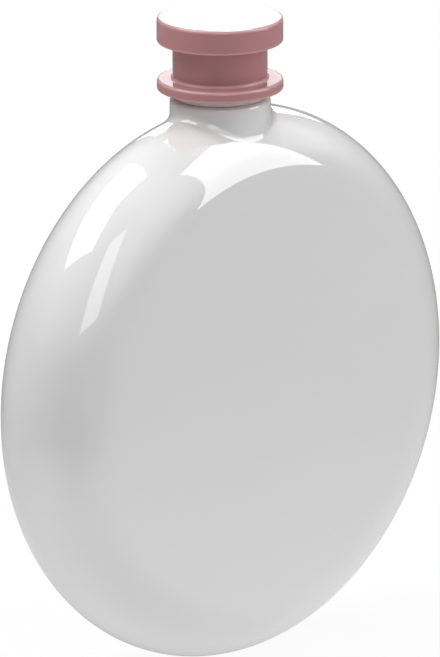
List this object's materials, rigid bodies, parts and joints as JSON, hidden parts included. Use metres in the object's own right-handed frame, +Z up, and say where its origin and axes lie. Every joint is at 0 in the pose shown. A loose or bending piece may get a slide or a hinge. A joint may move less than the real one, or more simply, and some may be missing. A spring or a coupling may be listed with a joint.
{
  "type": "round pocket flask",
  "caption": "Flat disc-shaped pocket flask with a full-round rim, a short flared neck and a spool-shaped screw stopper over a soft seal ring.",
  "frame": {"origin": "lowest point of the disc's rim, on the axis of the neck, midway between the two flat faces", "axes": "+Z up along the neck and stopper, +Y through the back face, front face towards -Y, +X to the right of the front face's viewer"},
  "size_m": [0.1, 0.025, 0.1169],
  "materials": {
    "white_coat": "glossy baked enamel on steel sheet",
    "bare_steel": "turned, uncoated",
    "pale_silicone": "satin moulded silicone",
    "rose_plastic": "smooth semi-gloss moulding, dusty rose",
    "plug_plastic": "plain moulding"
  },
  "bodies": {
    "flask": {"front_shell": "white_coat", "back_shell": "white_coat", "neck_collar": "white_coat", "neck_bush": "bare_steel"},
    "seal": {"seal_ring": "pale_silicone"},
    "stopper": {"stopper_knob": "rose_plastic", "stopper_plug": "plug_plastic"}
  },
  "joints": [
    {"name": "stopper_rise", "type": "slide", "parent": "flask", "child": "seal", "axis": [0, 0, 1], "range_m": [0, 0.009]},
    {"name": "stopper_turn", "type": "hinge", "parent": "seal", "child": "stopper", "pos_m": [0, 0, 0.10215], "axis": [0, 0, 1], "range_deg": [0, 1080]}
  ],
  "couplings": [
    {"joint": "stopper_rise", "follows": "stopper_turn", "m_per_rad": 0.00047746}
  ]
}
